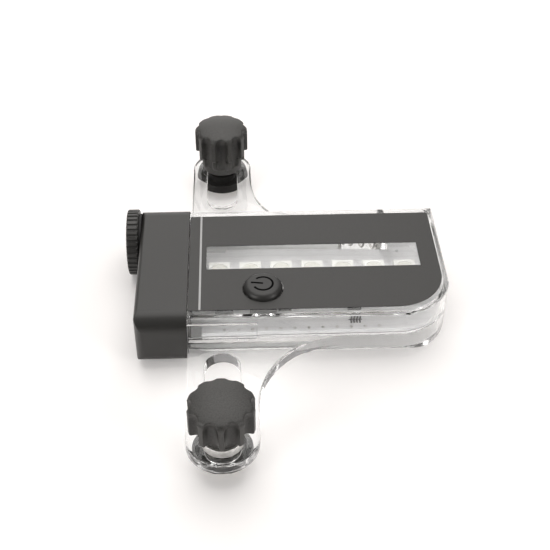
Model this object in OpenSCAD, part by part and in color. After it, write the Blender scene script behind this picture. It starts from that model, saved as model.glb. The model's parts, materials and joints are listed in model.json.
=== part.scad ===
// Spoke wheel light: a flat clear case with a row of lamps, a screwed battery
// end and two slotted arms whose thumb-screw clamps grip two wheel spokes.
// Sizes are worked out with X from the case's left end, Y across the arms
// and Z from the case's mid-plane, and every piece is then set on the floor.

/* [Case] */
// Length of the clear case
case_l = 58.6; // [54:0.1:75]
// Distance of the front wall's outside from the centre line
front_y = 18.5; // [17.5:0.1:24]
// Thickness of the front and right walls
wall = 1.2; // [0.8:0.1:2]
// Thickness of the top and bottom walls
face_t = 1.2; // [0.8:0.1:1.8]
// Wall of the round battery tube along the back
tube_wall = 0.65; // [0.6:0.05:1.5]
// Radius of the front right corner in plan
front_corner_r = 12.6; // [8:0.1:17]
// Radius of the back right corner in plan
back_corner_r = 3; // [2:0.5:6]
// Rounding of the case's upper edges
edge_r = 1.6; // [0.8:0.1:2.5]
// Rounding of the case's lower edges
edge_low_r = 2.4; // [0.8:0.1:2.6]
// Rounding of the case's two edges along the back
back_r = 4.4; // [3:0.1:6]
// Height of the seam between the shells, from the mid-plane
seam_z = -0.4; // [-1:0.1:0]
// How far the pad at the front arm's root stands proud of the wall
pad_t = 0.4; // [0.2:0.1:0.8]
// Height of that pad above the seam
pad_h = 4.4; // [3:0.1:4.6]
// Diameter of the posts that carry the board
post_d = 3; // [2:0.1:4]

/* [Arms] */
// Width of an arm
arm_w = 15.1; // [13:0.1:20]
// Thickness of an arm
arm_t = 2.8; // [2:0.1:3.5]
// Distance of an arm's tip from the centre line
arm_reach = 53.7; // [50:0.1:70]
// Radius of the large fillet between arm and case
arm_fillet = 20; // [10:0.5:22]
// Width of an arm's slot
slot_w = 7.7; // [6.5:0.1:9]
// Material left between slot and tip
slot_tip = 1.8; // [1:0.1:4]
// Distance from the front wall to the front slot
front_slot_gap = 4.6; // [2:0.1:10]
// Distance from the battery tube to the back slot
back_slot_gap = 8.1; // [4:0.1:12]

/* [Clamps] */
// Diameter of a thumb knob
knob_d = 13.5; // [12:0.1:18]
// Height of a thumb knob
knob_h = 10.7; // [9:0.1:14]
// Number of grip flutes on a knob
knob_flutes = 10; // [6:1:14]
// Diameter of one flute's cutter
flute_d = 4.4; // [3:0.1:5]
// Depth of a flute at the knob's foot
flute_depth = 1.2; // [0.6:0.05:1.5]
// Lean of a flute, which makes it shallower towards the top
flute_lean = 2.5; // [0:0.5:5]
// Rounding of the knob's top rim
knob_rim_r = 1.3; // [0.6:0.1:2]
// Radius of the knob's domed top
knob_dome_r = 13; // [11:0.5:30]
// Height of the knob's narrower foot
knob_foot_h = 2.9; // [1:0.1:3.5]
// How much the foot is set in from the knob's side
knob_foot_step = 0.8; // [0.2:0.05:1.2]
// Diameter of the threaded stud
stud_d = 4; // [3:0.5:5]
// How far the stud is sunk into the knob
stud_sink = 6; // [4:0.5:7]
// Outer diameter of the washer
washer_d = 10.2; // [9:0.1:11.5]
// Thickness of the washer
washer_t = 2; // [0.5:0.1:2.5]
// Diameter of the clamp disc
disc_d = 12.2; // [12:0.1:16]
// Thickness of the clamp disc
disc_t = 2.2; // [1.8:0.1:3]
// How far the disc's outer side slants in at the bottom
disc_bevel = 2.5; // [0.5:0.1:2.8]
// Height of the disc's guide boss in the slot
boss_h = 1.6; // [1:0.1:2]
// Length of the boss's flat sides
boss_flat = 1; // [0.6:0.1:4]
// How far the boss runs outwards from the stud before it is rounded
boss_outer = 0.3; // [0:0.1:1]
// Outer diameter of the brass insert
insert_d = 5.6; // [5.2:0.1:6.4]
// Play between boss and slot on each side
slot_play = 0.25; // [0.15:0.05:0.4]
// Gap between boss and the slot's outer end as stored
boss_rest_gap = 0.5; // [0.2:0.05:1]

/* [Battery end] */
// Length of the black end block
block_l = 11.5; // [9.5:0.1:16]
// How far the block stands proud of the case all round
block_step = 0.4; // [0.2:0.1:1]
// How far the block's front face stands proud of the front wall
block_front = 1.5; // [0.5:0.1:2]
// Rounding of the block's upper front edge
block_edge_r = 4.2; // [1.5:0.1:5]
// Rounding of the block's lower front edge
block_low_r = 3; // [1.5:0.1:4]
// Rounding of the block's two edges along the back
block_back_r = 5; // [3:0.1:6]
// Rounding of the block's left end
block_end_r = 1.2; // [0.6:0.1:2]
// Rounding of the block's front left corner in plan
block_corner_r = 2.2; // [1:0.1:4]
// Length of the spigot that plugs into the case
spigot_l = 2.6; // [1.5:0.1:3]
// Diameter of the tail cap's knurled rim
tail_d = 15.7; // [14:0.1:20]
// Thickness of the knurled rim
tail_t = 2.7; // [2:0.1:5]
// Number of ridges round the rim
tail_ridges = 36; // [20:1:48]
// Height of a ridge
ridge_h = 0.45; // [0.2:0.05:0.7]
// Width and depth of the smooth lip at the rim's outer end
tail_lip = 0.5; // [0.2:0.1:1]
// Thickness of the seal between cap and block
seal_t = 0.7; // [0.4:0.05:1.2]
// Outer diameter of the seal
seal_d = 13.6; // [13:0.1:14.5]
// Length of the cap's plug inside the block
plug_l = 3.3; // [2.5:0.1:6]
// Diameter of the cell
cell_d = 10.4; // [9.8:0.1:12]
// Length of the cell with its nub
cell_l = 44.5; // [40:0.1:46]
// Gap round the cell
cell_gap = 0.25; // [0.2:0.05:0.5]
// Distance of the cell's axis from the centre line
cell_y = 15.1; // [14.5:0.1:18]
// Diameter of the cell's nub
nub_d = 3.8; // [3:0.1:5]
// Length of the cell's nub
nub_l = 1; // [0.8:0.1:1.5]
// Thickness of the cell's sleeve
sleeve_t = 0.2; // [0.1:0.05:0.4]
// Bare can left at each end of the sleeve
sleeve_end = 0.8; // [0.4:0.1:1.5]
// Thickness of the contact plates
contact_t = 0.4; // [0.2:0.1:0.6]
// Width of the positive strip
strip_w = 3; // [2:0.1:5]
// Thickness of the rib that holds the negative contact
rib_t = 1.2; // [0.8:0.1:2]
// Length of the coil with the cell in place
spring_l = 9; // [6:0.1:10]
// Wire diameter of the coil
wire_d = 0.55; // [0.4:0.05:0.6]
// Mean diameter of the coil at the plate
spring_d = 8; // [7:0.1:9]
// Mean diameter of the coil at the cell
spring_tip_d = 4.4; // [3.5:0.1:5]
// Number of turns of the coil
spring_turns = 4.5; // [3:0.5:5]

/* [Label and key] */
// Thickness of the black film
film_t = 0.15; // [0.1:0.05:0.4]
// Half the film's width
film_half = 16.5; // [15.5:0.1:17]
// Gap from the film's left edge to the end block
film_left = 0.2; // [0.1:0.1:1]
// Clear margin at the film's right edge
film_margin = 1.6; // [1.6:0.1:4]
// Distance from the case's left end to the window
window_left = 4.1; // [3.5:0.1:8]
// Film left between the window and its right edge
window_margin = 4.3; // [3:0.1:8]
// Width of the window
window_w = 8.2; // [6:0.1:10]
// Middle of the window across the case
window_y = 1.2; // [0:0.1:2]
// Diameter of the power key
key_d = 8.7; // [7:0.1:9.5]
// Gap round the key
key_gap = 0.2; // [0.15:0.05:0.3]
// How far the key's domed head stands above the film
key_proud = 1.5; // [0.8:0.1:2]
// How far the dome's edge stands above the film
key_edge = 0.2; // [0.1:0.05:0.4]
// Thickness of the key's retaining flange
flange_t = 0.8; // [0.5:0.1:1]
// Key's place along the case
key_x = 16.7; // [15.6:0.1:16.8]
// Key's place in front of the centre line
key_y = 9.7; // [9.2:0.1:11]
// Width of the key's retaining flange
key_flange = 0.9; // [0.6:0.1:1.2]
// Free travel of the key
key_travel = 0.5; // [0.3:0.05:0.6]

/* [Board] */
// Thickness of the circuit board
pcb_t = 1; // [0.8:0.1:1.6]
// Gap between the board and the walls
pcb_gap = 0.4; // [0.2:0.1:1]
// Gap between the board and the battery tube
bay_gap = 0.95; // [0.6:0.05:2]
// Depth of the step in the board's back edge
notch_d = 0.7; // [0.4:0.1:1.5]
// Side of a lamp package
led_s = 5; // [3.5:0.1:5.5]
// Height of a lamp package
led_h = 1.6; // [1:0.1:2]
// Number of lamps on each face
led_count = 7; // [3:1:7]
// Gap between the row's end lamps and the window's ends
led_margin = 0.35; // [0.2:0.05:1]
// Middle of the lamp row across the case
led_y = 0.6; // [-0.5:0.1:1.5]
// Diameter of the resin lens in a lamp
lens_d = 3.8; // [2.5:0.1:4.2]
// How far the lens lies below the lamp's rim
lens_depth = 0.3; // [0.1:0.05:0.5]
// Place of the control chip along the case
control_x = 37; // [36:0.1:38.6]
// Place of the step-up chip along the case
boost_x = 21.5; // [21.3:0.1:23.5]
// Place of the step-up coil along the case
coil_x = 8; // [6:0.1:9]
// Side of the step-up coil
coil_s = 4; // [3:0.1:4.5]
// Height of the step-up coil
coil_h = 2; // [1.2:0.1:2.5]
// Side of the tact switch
switch_s = 6; // [4.5:0.1:6.2]
// Height of the tact switch's body
switch_h = 2; // [1.5:0.1:2.4]
// Diameter of the switch's plunger
plunger_d = 3.4; // [2.5:0.1:3.6]

/* [Hidden] */
$fn = 64;
press_gap = 0.02;
run_gap = 0.05;
pocket_gap = 0.1;
eps = 0.01;
over = 1;
tunnel_r = cell_d / 2 + cell_gap;
half_t = tunnel_r + tube_wall;
back_y = cell_y + half_t;
inner_z = half_t - face_t;
block_half = half_t + block_step;
arm_x = arm_w / 2;
arm_end_r = arm_w / 2;
arm_under = seam_z - arm_t;
slot_r = slot_w / 2;
slot_out = arm_reach - slot_tip;
boss_r = slot_r - slot_play;
clamp_y = slot_out - boss_rest_gap - boss_r - boss_outer;
stud_r = stud_d / 2;
washer_z = seam_z;
knob_z = washer_z + washer_t;
disc_z = arm_under - disc_t;
plug_end = -block_l - seal_t + plug_l;
cell_x0 = plug_end + contact_t;
cell_x1 = cell_x0 + cell_l;
rib_x = cell_x1 + spring_l + contact_t;
tail_r = tail_d / 2;
tail_x = -block_l - seal_t - tail_t;
plug_r = tunnel_r - run_gap;
film_right = case_l - film_margin;
film_corner_r = front_corner_r - film_margin;
film_small_r = 0.6;
window_l = film_right - window_margin - window_left;
window_x = window_left + window_l / 2;
led_pitch = (window_l - led_s - 2 * led_margin) / (led_count - 1);
key_r = key_d / 2;
key_hole_r = key_r + key_gap;
flange_bottom = inner_z - pocket_gap - flange_t;
pcb_top = pcb_t / 2;
pcb_x0 = spigot_l + pcb_gap;
pcb_x1 = case_l - wall - pcb_gap;
pcb_front = front_y - wall - pcb_gap;
pcb_back = cell_y - tunnel_r - bay_gap;
notch_x = 8.3;
tail_room = rib_x + rib_t + pcb_gap;
pcb_hole_d = 1;
post_y = pcb_front - 3 * post_d;
post_places = [
    [pcb_x0 + post_d, -post_y],
    [case_l / 2, -post_y],
    [case_l - front_corner_r, -post_y],
    [pcb_x0 + post_d, pcb_back - post_d / 2 - notch_d],
    [tail_room + post_d, pcb_back - post_d / 2]
];
strip_y = cell_y - tunnel_r - 2 * contact_t;
contact_r = cell_d / 2 - 2 * sleeve_end;
plate_s = cell_d - 2 * sleeve_end;
chip_y = pcb_front - 4.3;
control_size = [3, 3, 1.1];
lead_size = [0.3, 0.9, 0.2];
lead_pitch = 0.65;
lead_rows = 4;
boost_size = [2.9, 1.6, 1.1];
small_size = [1.6, 0.8, 0.6];
small_places = [4.5, 11.5, 26, 28.6, 31.2, 33.6, 41, 43.2];
coil_groove = 0.4;
coil_core_d = 2.2;
curl_rings = 8;
wire_sides = 6;
spring_x0 = cell_x1 + wire_d / 2 + run_gap;
spring_x1 = rib_x - contact_t - wire_d / 2 - run_gap;
spring_rings = floor(spring_turns * curl_rings);
rest_h = max(tail_r, half_t, block_half);
mid_x = (case_l + tail_x) / 2;

// Puts a piece from the case's own frame on the floor, in the middle of the part
module placed() {
    translate([-mid_x, 0, rest_h]) children();
}

// Extrudes a cross-section, drawn as Y by Z, along X
module along_x(x0, x1) {
    translate([x0, 0, 0]) rotate([90, 0, 90]) linear_extrude(x1 - x0) children();
}

// Extrudes a side view, drawn as X by Z, across the whole width
module across_y() {
    rotate([90, 0, 0]) linear_extrude(4 * arm_reach, center = true) children();
}

// Corner of a square sheet outside a rounding of radius r, for the corner at the origin
module corner_waste(r) {
    difference() {
        translate([-r, -r]) square(r + over);
        translate([-r, -r]) circle(r);
    }
}

// Plan outline of the case, drawn in by inset, and by back_inset at the back
module case_plan(x0, inset, back_inset) {
    difference() {
        translate([x0, -front_y + inset])
            square([case_l - inset - x0, front_y + back_y - inset - back_inset]);
        translate([case_l - inset, -front_y + inset])
            mirror([0, 1]) corner_waste(front_corner_r - inset);
        translate([case_l - inset, back_y - back_inset])
            corner_waste(back_corner_r - inset);
    }
}

// Cross-section round the cell and the board, with its own rounding on each long edge
module tube_section(front, half, top_edge, low_edge, back_edge) {
    back = cell_y + half;
    difference() {
        translate([-front, -half]) square([front + back, 2 * half]);
        translate([-front, half]) mirror([1, 0]) corner_waste(top_edge);
        translate([-front, -half]) rotate(180) corner_waste(low_edge);
        for (s = [1, -1]) scale([1, s]) translate([back, half]) corner_waste(back_edge);
    }
}

// Side view of the case with its right edges rounded
module case_side() {
    difference() {
        translate([-block_l, -half_t]) square([case_l + block_l, 2 * half_t]);
        translate([case_l, half_t]) corner_waste(edge_r);
        translate([case_l, -half_t]) mirror([0, 1]) corner_waste(edge_low_r);
    }
}

// The closed outer body of both shells
module case_body() {
    intersection() {
        along_x(0, case_l) tube_section(front_y, half_t, edge_r, edge_low_r, back_r);
        translate([0, 0, -half_t]) linear_extrude(2 * half_t) case_plan(0, 0, 0);
        across_y() case_side();
    }
}

// The hollow inside both shells, open at the left end
module case_hollow() {
    intersection() {
        along_x(-over, case_l) union() {
            translate([-front_y + wall, -inner_z])
                square([front_y - wall + cell_y, 2 * inner_z]);
            translate([cell_y, 0]) circle(tunnel_r);
        }
        translate([0, 0, -half_t]) linear_extrude(2 * half_t) case_plan(-over, wall, tube_wall);
    }
}

// Outline of the arm that points along -Y from a wall at Y = -wall_y
module arm_outline(wall_y) {
    translate([0, -arm_reach + arm_end_r])
        square([arm_w, arm_reach - arm_end_r - wall_y + edge_r]);
    translate([arm_x, -arm_reach + arm_end_r]) circle(arm_end_r);
    difference() {
        translate([arm_w - eps, -wall_y - arm_fillet])
            square([arm_fillet + eps, arm_fillet + edge_r]);
        translate([arm_w + arm_fillet, -wall_y - arm_fillet]) circle(arm_fillet);
    }
}

// Slot of that arm, whose inner end lies at Y = -inner_y
module arm_slot(inner_y) {
    translate([arm_x - slot_r, -slot_out + slot_r])
        square([slot_w, slot_out - inner_y - slot_w]);
    for (y = [-slot_out + slot_r, -inner_y - slot_r])
        translate([arm_x, y]) circle(slot_r);
}

// Both arms as one plate under the seam
module arms() {
    translate([0, 0, arm_under]) linear_extrude(arm_t) {
        difference() {
            arm_outline(front_y);
            arm_slot(front_y + front_slot_gap);
        }
        mirror([0, 1]) difference() {
            arm_outline(back_y - edge_r);
            arm_slot(back_y + back_slot_gap);
        }
    }
}

// Half-wall that closes the battery bay behind the negative contact
module bay_rib(z0, z1) {
    intersection() {
        translate([rib_x, cell_y - tunnel_r, z0])
            cube([rib_t, 2 * tunnel_r + tube_wall, z1 - z0]);
        along_x(rib_x, rib_x + rib_t) translate([cell_y, 0])
            circle(tunnel_r + tube_wall / 2);
    }
}

module lower_case() {
    color("whitesmoke", 0.35) {
        intersection() {
            difference() {
                union() {
                    case_body();
                    arms();
                }
                case_hollow();
            }
            translate([-block_l, -2 * arm_reach, -2 * half_t])
                cube([2 * case_l, 4 * arm_reach, 2 * half_t + seam_z]);
        }
        for (p = post_places) translate([p[0], p[1], -inner_z - eps])
            cylinder(d = post_d, h = inner_z - pcb_t / 2 + eps);
        bay_rib(-half_t, seam_z);
    }
}

module upper_case() {
    color("white", 0.35) {
        difference() {
            intersection() {
                union() {
                    case_body();
                    translate([0, -front_y - pad_t, seam_z])
                        cube([arm_w, pad_t + wall, pad_h]);
                }
                translate([-block_l, -2 * arm_reach, seam_z])
                    cube([2 * case_l, 4 * arm_reach, 2 * half_t]);
            }
            case_hollow();
            translate([key_x, -key_y, 0]) cylinder(r = key_hole_r, h = 2 * half_t);
        }
        bay_rib(seam_z, half_t);
    }
}

// Outline of the film with its one large corner
module film_outline() {
    difference() {
        translate([film_left, -film_half])
            square([film_right - film_left, 2 * film_half]);
        translate([film_right, -film_half]) mirror([0, 1]) corner_waste(film_corner_r);
        translate([film_right, film_half]) corner_waste(film_small_r);
    }
}

module top_label() {
    color("black") translate([0, 0, half_t]) linear_extrude(film_t) difference() {
        film_outline();
        translate([window_x - window_l / 2, window_y - window_w / 2])
            square([window_l, window_w]);
        translate([key_x, -key_y]) circle(key_hole_r);
    }
}

// The key's turned profile: flange under the case wall, stem and domed head
module power_button() {
    edge_z = half_t + film_t + key_edge;
    crown = key_proud - key_edge;
    dome_r = (key_r * key_r + crown * crown) / (2 * crown);
    color("dimgray") translate([key_x, -key_y, 0]) rotate_extrude() union() {
        translate([0, flange_bottom]) square([key_r + key_flange, flange_t]);
        translate([0, flange_bottom]) square([key_r, edge_z - flange_bottom]);
        intersection() {
            translate([0, edge_z + crown - dome_r]) circle(dome_r, $fn = 256);
            translate([0, edge_z - eps]) square([key_r, crown + eps]);
        }
    }
}

// Cross-section of the end block
module block_section() {
    tube_section(front_y + block_front, block_half, block_edge_r, block_low_r, block_back_r);
}

// Side view of the block with its left edges rounded
module block_side() {
    difference() {
        translate([-block_l, -block_half]) square([block_l, 2 * block_half]);
        for (s = [1, -1]) scale([1, s]) translate([-block_l, block_half])
            mirror([1, 0]) corner_waste(block_end_r);
    }
}

// Plan view of the block with its front left corner rounded
module block_plan() {
    difference() {
        translate([-block_l, -front_y - block_front])
            square([block_l, front_y + block_front + cell_y + block_half]);
        translate([-block_l, -front_y - block_front])
            rotate(180) corner_waste(block_corner_r);
    }
}

module end_block() {
    color("black") difference() {
        union() {
            intersection() {
                along_x(-block_l, 0) block_section();
                across_y() block_side();
                translate([0, 0, -block_half])
                    linear_extrude(2 * block_half) block_plan();
            }
            along_x(-eps, spigot_l) difference() {
                translate([-front_y + wall + pocket_gap, -inner_z + pocket_gap])
                    square([pcb_front + pcb_back, 2 * inner_z - 2 * pocket_gap]);
                translate([-front_y + 2 * wall + pocket_gap, -inner_z + wall])
                    square([pcb_front + pcb_back - 2 * wall, 2 * inner_z - 2 * wall]);
            }
        }
        along_x(-block_l - over, spigot_l + over) translate([cell_y, 0]) circle(tunnel_r);
        strip_slot(pocket_gap);
    }
}

// Slot that carries the positive strip beside the cell's bore
module strip_slot(gap) {
    translate([-block_l - over, strip_y - gap, -strip_w / 2 - gap])
        cube([block_l + spigot_l + 2 * over, contact_t + 2 * gap, strip_w + 2 * gap]);
}

module positive_strip() {
    color("silver") translate([-block_l, strip_y, -strip_w / 2])
        cube([block_l + pcb_x0 - press_gap, contact_t, strip_w]);
}

// Ridged outline of the tail cap's rim, a cosine wave on a circle
module knurl_outline() {
    steps = 8 * tail_ridges;
    polygon([for (i = [0:steps - 1])
        let (a = 360 * i / steps, r = tail_r - ridge_h / 2 + ridge_h / 2 * cos(tail_ridges * a))
        [r * cos(a), r * sin(a)]]);
}

module tail_cap() {
    color("dimgray") {
        difference() {
            along_x(tail_x, tail_x + tail_t) translate([cell_y, 0]) knurl_outline();
            along_x(tail_x - over, tail_x + tail_lip) translate([cell_y, 0]) difference() {
                circle(tail_r + over);
                circle(tail_r - ridge_h - tail_lip);
            }
        }
        along_x(tail_x + tail_t - eps, plug_end) translate([cell_y, 0]) circle(plug_r);
    }
}

module tail_seal() {
    color("black") along_x(-block_l - seal_t + press_gap, -block_l - press_gap)
        translate([cell_y, 0]) difference() {
            circle(d = seal_d);
            circle(plug_r + pocket_gap);
        }
}

module positive_contact() {
    color("silver") along_x(plug_end, cell_x0) translate([cell_y, 0]) circle(contact_r);
}

// Steel can of the cell, with the nub at the cap's end
module cell_can() {
    color("silver") translate([0, cell_y, 0]) rotate([0, 90, 0]) {
        translate([0, 0, cell_x0]) cylinder(d = nub_d, h = nub_l + eps);
        translate([0, 0, cell_x0 + nub_l])
            cylinder(r = cell_d / 2 - sleeve_t - press_gap, h = cell_l - nub_l);
    }
}

// Printed sleeve round the can, turned in a little at both ends
module cell_sleeve() {
    color("gainsboro") along_x(cell_x0 + nub_l + sleeve_end, cell_x1 - sleeve_end)
        translate([cell_y, 0]) difference() {
            circle(cell_d / 2);
            circle(cell_d / 2 - sleeve_t);
        }
}

// Coil spring as one tube swept along a conical helix
function spring_r(t) = (spring_tip_d + (spring_d - spring_tip_d) * t) / 2;
function spring_point(t) = [
    spring_x0 + (spring_x1 - spring_x0) * t,
    cell_y + spring_r(t) * cos(360 * spring_turns * t),
    spring_r(t) * sin(360 * spring_turns * t)
];
function wire_point(t, b) = spring_point(t) + wire_d / 2 * [
    sin(b),
    cos(b) * cos(360 * spring_turns * t),
    cos(b) * sin(360 * spring_turns * t)
];

module cell_spring() {
    points = [for (i = [0:spring_rings]) for (j = [0:wire_sides - 1])
        wire_point(i / spring_rings, 360 * j / wire_sides)];
    sides = [for (i = [0:spring_rings - 1]) for (j = [0:wire_sides - 1])
        let (a = i * wire_sides + j, b = i * wire_sides + (j + 1) % wire_sides)
        each [[a, a + wire_sides, b], [b, a + wire_sides, b + wire_sides]]];
    first = [for (j = [1:wire_sides - 2]) [0, j, j + 1]];
    last_ring = spring_rings * wire_sides;
    last = [for (j = [1:wire_sides - 2]) [last_ring, last_ring + j + 1, last_ring + j]];
    color("silver") polyhedron(points, concat(sides, first, last));
}

// Least gap between one turn of the coil and the next, measured on its points
coil_gaps = [for (i = [0:spring_rings - curl_rings])
    norm(spring_point((i + curl_rings) / spring_rings) - spring_point(i / spring_rings)) - wire_d];
echo(least_coil_gap = min(coil_gaps));

module negative_contact() {
    color("silver") along_x(rib_x - contact_t, rib_x - press_gap) translate([cell_y, 0])
        intersection() {
            circle(tunnel_r - press_gap);
            square(plate_s, center = true);
        }
}

// Outline of the board, wider behind the battery bay and stepped at its left end
module pcb_outline() {
    difference() {
        union() {
            translate([pcb_x0, -pcb_front])
                square([pcb_x1 - pcb_x0, pcb_front + pcb_back]);
            translate([tail_room, 0]) square([pcb_x1 - tail_room, cell_y]);
        }
        translate([pcb_x0 - over, pcb_back - notch_d])
            square([notch_x - pcb_x0 + over, notch_d + over]);
        translate([pcb_x1, -pcb_front]) mirror([0, 1])
            corner_waste(front_corner_r - wall - pcb_gap);
        translate([tail_room + 2 * pcb_hole_d, pcb_back - pcb_hole_d / 2]) circle(d = pcb_hole_d);
    }
}

module pcb() {
    color("ivory") translate([0, 0, -pcb_t / 2]) linear_extrude(pcb_t) pcb_outline();
}

// One row of lamp packages with its foot at z0
module led_row(z0) {
    for (i = [0:led_count - 1])
        translate([window_x + (i - (led_count - 1) / 2) * led_pitch, led_y, z0])
            translate([-led_s / 2, -led_s / 2, 0]) difference() {
                cube([led_s, led_s, led_h]);
                translate([led_s / 2, led_s / 2, led_h - lens_depth])
                    cylinder(d = lens_d, h = lens_depth + over);
            }
}

module leds_top() {
    color("lightyellow") led_row(pcb_top);
}

module leds_bottom() {
    color("lightyellow") mirror([0, 0, 1]) led_row(pcb_top);
}

// Flat chip on the board's front strip
module chip(x, y, size) {
    translate([x - size[0] / 2, -y - size[1] / 2, pcb_top]) cube(size);
}

module control_chip() {
    row_y = (control_size[1] + lead_size[1]) / 2;
    color("black") {
        chip(control_x, chip_y, control_size);
        for (i = [0:lead_rows - 1]) for (s = [-1, 1])
            chip(control_x + (i - (lead_rows - 1) / 2) * lead_pitch, chip_y + s * row_y, lead_size);
    }
}

module boost_chip() {
    color("black") chip(boost_x, chip_y, boost_size);
}

// Square coil body with a round groove between winding and core
module boost_coil() {
    color("darkslategray") translate([coil_x, -chip_y + coil_s / 2, pcb_top]) difference() {
        translate([-coil_s / 2, -coil_s / 2, 0]) cube([coil_s, coil_s, coil_h]);
        translate([0, 0, coil_h - coil_groove]) difference() {
            cylinder(d = coil_s - coil_groove, h = over);
            translate([0, 0, -over]) cylinder(d = coil_core_d, h = 3 * over);
        }
    }
}

// Small resistors and capacitors in a row behind the front wall
module chip_parts() {
    color("saddlebrown") for (x = small_places) chip(x, chip_y, small_size);
}

module power_switch() {
    color("black") translate([key_x, -key_y, pcb_top]) difference() {
        translate([-switch_s / 2, -switch_s / 2, 0]) cube([switch_s, switch_s, switch_h]);
        translate([0, 0, switch_h - key_travel - pocket_gap])
            cylinder(d = plunger_d + 4 * run_gap, h = switch_h);
    }
}

module switch_plunger() {
    foot = pcb_top + switch_h;
    color("white") translate([key_x, -key_y, foot])
        cylinder(d = plunger_d, h = flange_bottom - foot);
}

// Thumb knob: a turned body whose dome runs smoothly into its rim, on a narrower
// foot, with flutes that deepen towards the foot
module knob() {
    side_r = knob_d / 2;
    top_r = side_r - knob_rim_r;
    dome_z = knob_h - knob_dome_r;
    rim_reach = knob_dome_r - knob_rim_r;
    rim_z = dome_z + sqrt(rim_reach * rim_reach - top_r * top_r);
    difference() {
        rotate_extrude() {
            square([side_r - knob_foot_step, knob_foot_h + eps]);
            translate([0, knob_foot_h]) square([side_r, rim_z - knob_foot_h]);
            translate([top_r, rim_z - eps]) intersection() {
                circle(knob_rim_r);
                square(knob_rim_r);
            }
            intersection() {
                translate([0, dome_z]) circle(knob_dome_r, $fn = 256);
                translate([0, rim_z - eps]) square([top_r * (1 + knob_rim_r / rim_reach), knob_h]);
            }
        }
        for (i = [0:knob_flutes - 1]) rotate(360 * i / knob_flutes)
            translate([side_r + flute_d / 2 - flute_depth, 0, -over]) rotate([0, flute_lean, 0])
                cylinder(d = flute_d, h = knob_h + 3 * over);
        translate([0, 0, -over]) cylinder(r = stud_r + press_gap, h = stud_sink + over);
    }
}

// Clamp disc with its guide boss; the boss runs inwards along +Y, and the disc's
// outer side slants in, so that it stays behind the arm's end
module clamp_disc() {
    outer = disc_d / 2 - 2 * pocket_gap;
    difference() {
        union() {
            difference() {
                cylinder(d = disc_d, h = disc_t);
                rotate([90, 0, 90]) translate([0, 0, -disc_d]) linear_extrude(2 * disc_d)
                    polygon([
                        [-outer, disc_t + over],
                        [-outer, disc_t],
                        [disc_bevel - outer, 0],
                        [disc_bevel - outer, -over],
                        [-disc_d, -over],
                        [-disc_d, disc_t + over]
                    ]);
            }
            translate([0, 0, disc_t - eps]) {
                for (y = [-boss_outer, boss_flat - boss_outer])
                    translate([0, y, 0]) cylinder(r = boss_r, h = boss_h + eps);
                translate([-boss_r, -boss_outer, 0]) cube([2 * boss_r, boss_flat, boss_h + eps]);
            }
        }
        translate([0, 0, -over])
            cylinder(d = insert_d + 2 * press_gap, h = disc_t + boss_h + 2 * over);
    }
}

module insert() {
    difference() {
        cylinder(d = insert_d, h = disc_t + boss_h);
        translate([0, 0, -over]) cylinder(r = stud_r + run_gap, h = disc_t + boss_h + 2 * over);
    }
}

module washer() {
    difference() {
        cylinder(d = washer_d, h = washer_t);
        translate([0, 0, -over]) cylinder(r = stud_r + pocket_gap, h = washer_t + 2 * over);
    }
}

// Sets a clamp's piece at height z on one arm; side is -1 in front and 1 behind
module on_arm(side, z) {
    translate([arm_x, side * clamp_y, z]) rotate(side > 0 ? 180 : 0) children();
}

// The front knob is stored with a lobe towards -Y, the back knob with a flute
module knob_at(side) {
    turn = side > 0 ? 180 / knob_flutes : 0;
    color("dimgray") on_arm(side, knob_z) rotate(turn) knob();
}

module stud_at(side) {
    color("silver") on_arm(side, disc_z) cylinder(r = stud_r, h = knob_z + stud_sink - disc_z);
}

module washer_at(side) {
    color(side > 0 ? "dimgray" : "silver") on_arm(side, washer_z) washer();
}

module disc_at(side) {
    color("black") on_arm(side, disc_z) clamp_disc();
}

module insert_at(side) {
    color("goldenrod") on_arm(side, disc_z) insert();
}

placed() lower_case();
placed() upper_case();
placed() top_label();
placed() power_button();
placed() end_block();
placed() tail_cap();
placed() tail_seal();
placed() positive_contact();
placed() positive_strip();
placed() cell_can();
placed() cell_sleeve();
placed() cell_spring();
placed() negative_contact();
placed() pcb();
placed() leds_top();
placed() leds_bottom();
placed() control_chip();
placed() boost_chip();
placed() boost_coil();
placed() chip_parts();
placed() power_switch();
placed() switch_plunger();
placed() knob_at(-1);  // front_knob
placed() stud_at(-1);  // front_stud
placed() washer_at(-1);  // front_washer
placed() disc_at(-1);  // front_disc
placed() insert_at(-1);  // front_insert
placed() knob_at(1);  // back_knob
placed() stud_at(1);  // back_stud
placed() washer_at(1);  // back_washer
placed() disc_at(1);  // back_disc
placed() insert_at(1);  // back_insert
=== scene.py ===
# Spoke wheel light: the finish and fine shape of every piece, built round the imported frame.
import json
import math

import bmesh
import bpy
from mathutils import Matrix, Vector


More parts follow.
